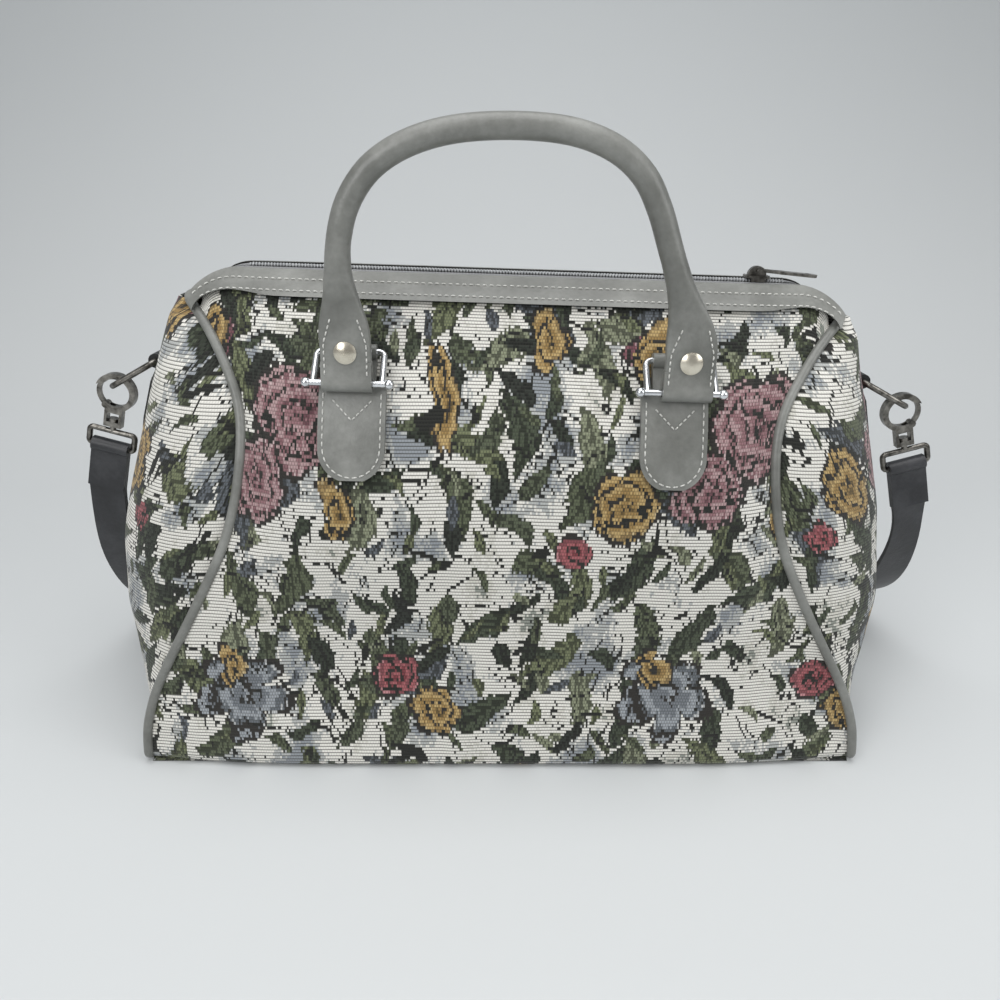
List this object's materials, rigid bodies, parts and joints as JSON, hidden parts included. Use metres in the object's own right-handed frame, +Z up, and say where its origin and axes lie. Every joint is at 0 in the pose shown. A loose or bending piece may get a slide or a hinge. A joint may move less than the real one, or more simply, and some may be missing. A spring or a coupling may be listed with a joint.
{
  "type": "carpet bag",
  "caption": "Zipped tapestry carpet bag with flared base, leather piping and trim, rolled handles on wire rings and a clip-on shoulder strap.",
  "frame": {"origin": "middle of the base, on the surface that the bag stands on", "axes": "+Z up, the front with the standing handle faces -Y, +X along the bag's length to its right as seen from the front"},
  "size_m": [0.4847, 0.2749, 0.304],
  "materials": {
    "tapestry": "woven jacquard with floral pattern",
    "grey_leather": "smooth, soft sheen",
    "strap_leather": "smooth",
    "zip_tape": "woven tape",
    "zip_coil": "nylon coil",
    "base_board": "plain board",
    "zip_metal": "antique",
    "rivet_metal": "satin, pale champagne",
    "bright_metal": "polished",
    "dark_metal": "antique silver"
  },
  "bodies": {
    "root": {"front_left_chape": "grey_leather", "front_right_chape": "grey_leather", "back_left_chape": "grey_leather", "back_right_chape": "grey_leather", "body_panel": "tapestry", "left_gusset": "tapestry", "right_gusset": "tapestry", "left_piping": "grey_leather", "right_piping": "grey_leather", "front_trim": "grey_leather", "back_trim": "grey_leather", "front_zip_tape": "zip_tape", "back_zip_tape": "zip_tape", "zip_coil": "zip_coil", "base_board": "base_board", "left_end_tab": "grey_leather", "right_end_tab": "grey_leather", "left_swivel_eye": "dark_metal", "right_swivel_eye": "dark_metal", "shoulder_strap": "strap_leather"},
    "front_left_ring": {"front_left_ring": "bright_metal"},
    "front_right_ring": {"front_right_ring": "bright_metal"},
    "front_handle": {"front_handle": "grey_leather", "front_left_rivet": "rivet_metal", "front_right_rivet": "rivet_metal"},
    "back_left_ring": {"back_left_ring": "bright_metal"},
    "back_right_ring": {"back_right_ring": "bright_metal"},
    "back_handle": {"back_handle": "grey_leather", "back_left_rivet": "rivet_metal", "back_right_rivet": "rivet_metal"},
    "zip_slider": {"zip_slider": "zip_metal"},
    "zip_pull": {"zip_pull": "zip_metal"},
    "left_d_ring": {"left_d_ring": "dark_metal"},
    "left_snap_hook": {"left_snap_hook": "dark_metal"},
    "left_snap_gate": {"left_snap_gate": "dark_metal"},
    "right_d_ring": {"right_d_ring": "dark_metal"},
    "right_snap_hook": {"right_snap_hook": "dark_metal"},
    "right_snap_gate": {"right_snap_gate": "dark_metal"}
  },
  "joints": [
    {"name": "front_left_ring_hinge", "type": "hinge", "parent": "root", "child": "front_left_ring", "pos_m": [-0.06693, -0.04987, 0.2084], "axis": [-0.9995, 0, 0.0314], "range_deg": [0, 35]},
    {"name": "front_right_ring_hinge", "type": "hinge", "parent": "root", "child": "front_right_ring", "pos_m": [0.08099, -0.04987, 0.20375], "axis": [-0.9995, 0, 0.0314], "range_deg": [0, 35]},
    {"name": "front_handle_hinge", "type": "hinge", "parent": "front_left_ring", "child": "front_handle", "pos_m": [-0.0673, -0.0623, 0.19682], "axis": [0.9995, 0, -0.0314], "range_deg": [-10, 146]},
    {"name": "back_left_ring_hinge", "type": "hinge", "parent": "root", "child": "back_left_ring", "pos_m": [-0.06693, 0.04987, 0.2084], "axis": [0.9995, 0, -0.0314], "range_deg": [0, 35]},
    {"name": "back_right_ring_hinge", "type": "hinge", "parent": "root", "child": "back_right_ring", "pos_m": [0.08099, 0.04987, 0.20375], "axis": [0.9995, 0, -0.0314], "range_deg": [0, 35]},
    {"name": "back_handle_hinge", "type": "hinge", "parent": "back_left_ring", "child": "back_handle", "pos_m": [-0.0673, 0.0623, 0.19682], "axis": [-0.9995, 0, 0.0314], "range_deg": [-156, 0]},
    {"name": "zip_slide", "type": "slide", "parent": "root", "child": "zip_slider", "axis": [-0.9995, 0, 0.0314], "range_m": [0, 0.236]},
    {"name": "zip_pull_hinge", "type": "hinge", "parent": "zip_slider", "child": "zip_pull", "pos_m": [0.12709, 0, 0.23797], "axis": [0, -1, 0], "range_deg": [0, 188]},
    {"name": "left_d_ring_hinge", "type": "hinge", "parent": "root", "child": "left_d_ring", "pos_m": [-0.17449, 0, 0.19435], "axis": [0, -1, 0], "range_deg": [0, 12]},
    {"name": "left_hook_swivel", "type": "hinge", "parent": "root", "child": "left_snap_hook", "pos_m": [-0.20144, 0, 0.17603], "axis": [0.2756, 0, 0.9613], "range_deg": [-15, 15]},
    {"name": "left_gate_hinge", "type": "hinge", "parent": "left_snap_hook", "child": "left_snap_gate", "pos_m": [-0.20781, 0, 0.16988], "axis": [0, 1, 0], "range_deg": [0, 25], "stiffness_Nm_per_rad": 0.01, "springref_deg": -17.19},
    {"name": "right_d_ring_hinge", "type": "hinge", "parent": "root", "child": "right_d_ring", "pos_m": [0.18593, 0, 0.18365], "axis": [0, 1, 0], "range_deg": [0, 12]},
    {"name": "right_hook_swivel", "type": "hinge", "parent": "root", "child": "right_snap_hook", "pos_m": [0.21289, 0, 0.16532], "axis": [-0.2756, 0, 0.9613], "range_deg": [-15, 15]},
    {"name": "right_gate_hinge", "type": "hinge", "parent": "right_snap_hook", "child": "right_snap_gate", "pos_m": [0.21926, 0, 0.15918], "axis": [0, -1, 0], "range_deg": [0, 25], "stiffness_Nm_per_rad": 0.01, "springref_deg": -17.19}
  ],
  "couplings": [
    {"joint": "front_right_ring_hinge", "follows": "front_left_ring_hinge", "ratio": 1},
    {"joint": "back_right_ring_hinge", "follows": "back_left_ring_hinge", "ratio": 1}
  ]
}
